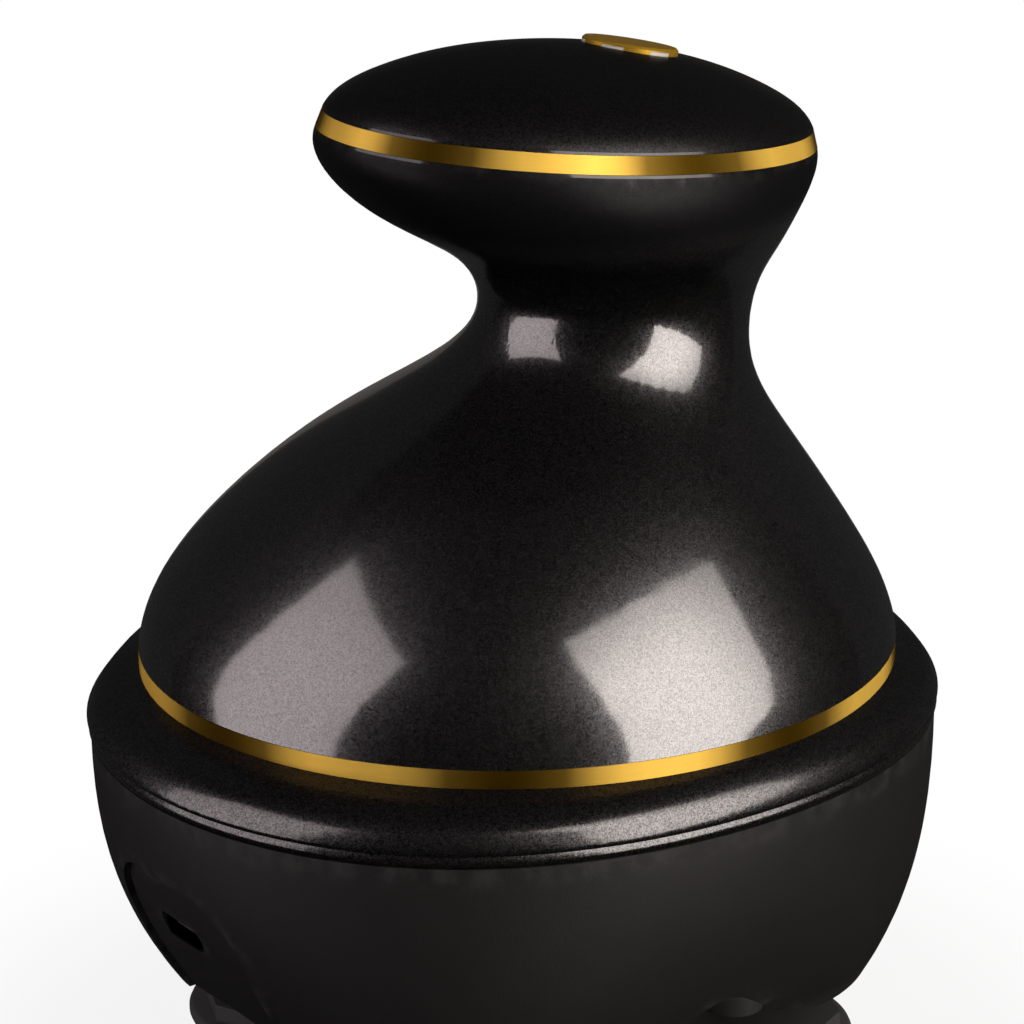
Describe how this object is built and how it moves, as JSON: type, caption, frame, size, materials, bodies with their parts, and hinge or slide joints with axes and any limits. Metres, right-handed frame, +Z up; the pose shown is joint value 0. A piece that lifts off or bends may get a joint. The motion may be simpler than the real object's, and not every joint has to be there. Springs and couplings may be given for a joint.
{
  "type": "electric scalp massager",
  "caption": "Hand-held scalp massager: flared body, waisted grip under an oval cap with a push button, geared silicone heads below, charging port in front.",
  "frame": {"origin": "middle of the footprint, on the plane that the silicone tips rest on", "axes": "+Z up to the cap; -Y towards the charging port and the overhanging front of the cap; +X to the user's right hand side"},
  "size_m": [0.1016, 0.1131, 0.1404],
  "materials": {
    "gloss_black": "gloss black with fine metallic flake",
    "matte_black": "fine-textured matt black",
    "gold": "gold-plated, brushed round",
    "light_white": "milky light guide",
    "steel": "plain steel",
    "black_moulding": "plain black moulding",
    "white_moulding": "natural acetal",
    "brass": "machined brass",
    "circuit_green": "solder-resist green",
    "cell_wrap": "shrink-wrapped cell",
    "silicone": "soft black silicone"
  },
  "bodies": {
    "housing": {"base_plate": "white_moulding", "base_trim_ring": "gold", "battery_cell": "cell_wrap", "battery_cradle": "white_moulding", "bell_housing": "gloss_black", "bell_screws": "steel", "board_screws": "steel", "cap_trim_ring": "gold", "centre_pin": "steel", "charging_board": "circuit_green", "charging_socket": "steel", "control_board": "circuit_green", "deck_screws": "steel", "gear_deck": "white_moulding", "idler_pin": "steel", "indicator_lamps": "light_white", "lower_skirt": "matte_black", "motor_can": "steel", "motor_end_cap": "black_moulding", "motor_screws": "steel", "plate_screws": "steel", "port_panel": "matte_black", "push_switch": "black_moulding", "shoulder_ring": "gloss_black", "socket_tongue": "black_moulding", "top_cover": "gloss_black"},
    "button": {"power_button": "gold", "light_ring": "light_white", "switch_plunger": "black_moulding"},
    "motor_armature": {"motor_rotor": "steel", "motor_pinion": "brass"},
    "idler": {"idler_gear": "white_moulding"},
    "centre": {"centre_gear": "white_moulding"},
    "head_front_right": {"front_right_gear": "white_moulding", "front_right_shaft": "steel", "front_right_carrier": "black_moulding", "front_right_pad": "silicone"},
    "head_front_left": {"front_left_gear": "white_moulding", "front_left_shaft": "steel", "front_left_carrier": "black_moulding", "front_left_pad": "silicone"},
    "head_back_right": {"back_right_gear": "white_moulding", "back_right_shaft": "steel", "back_right_carrier": "black_moulding", "back_right_pad": "silicone"},
    "head_back_left": {"back_left_gear": "white_moulding", "back_left_shaft": "steel", "back_left_carrier": "black_moulding", "back_left_pad": "silicone"}
  },
  "joints": [
    {"name": "power_button_press", "type": "slide", "parent": "housing", "child": "button", "axis": [0, -0.1958, -0.9806], "range_m": [0, 0.0006], "stiffness_N_per_m": 400},
    {"name": "motor_spin", "type": "hinge", "parent": "housing", "child": "motor_armature", "pos_m": [0, 0.00825, 0.06], "axis": [0, 0, 1], "continuous": true},
    {"name": "idler_gear_spin", "type": "hinge", "parent": "housing", "child": "idler", "pos_m": [0, 0.02625, 0.042], "axis": [0, 0, 1], "continuous": true},
    {"name": "centre_gear_spin", "type": "hinge", "parent": "housing", "child": "centre", "pos_m": [0, 0, 0.037], "axis": [0, 0, 1], "continuous": true},
    {"name": "head_front_right_spin", "type": "hinge", "parent": "housing", "child": "head_front_right", "pos_m": [0.02068, -0.02068, 0.03], "axis": [0, 0, 1], "continuous": true},
    {"name": "head_front_left_spin", "type": "hinge", "parent": "housing", "child": "head_front_left", "pos_m": [-0.02068, -0.02068, 0.03], "axis": [0, 0, 1], "continuous": true},
    {"name": "head_back_right_spin", "type": "hinge", "parent": "housing", "child": "head_back_right", "pos_m": [0.02068, 0.02068, 0.03], "axis": [0, 0, 1], "continuous": true},
    {"name": "head_back_left_spin", "type": "hinge", "parent": "housing", "child": "head_back_left", "pos_m": [-0.02068, 0.02068, 0.03], "axis": [0, 0, 1], "continuous": true}
  ],
  "couplings": [
    {"joint": "idler_gear_spin", "follows": "motor_spin", "ratio": -0.38462},
    {"joint": "centre_gear_spin", "follows": "motor_spin", "ratio": 0.12019},
    {"joint": "head_front_right_spin", "follows": "motor_spin", "ratio": -0.10302},
    {"joint": "head_front_left_spin", "follows": "motor_spin", "ratio": -0.10302},
    {"joint": "head_back_right_spin", "follows": "motor_spin", "ratio": -0.10302},
    {"joint": "head_back_left_spin", "follows": "motor_spin", "ratio": -0.10302}
  ]
}
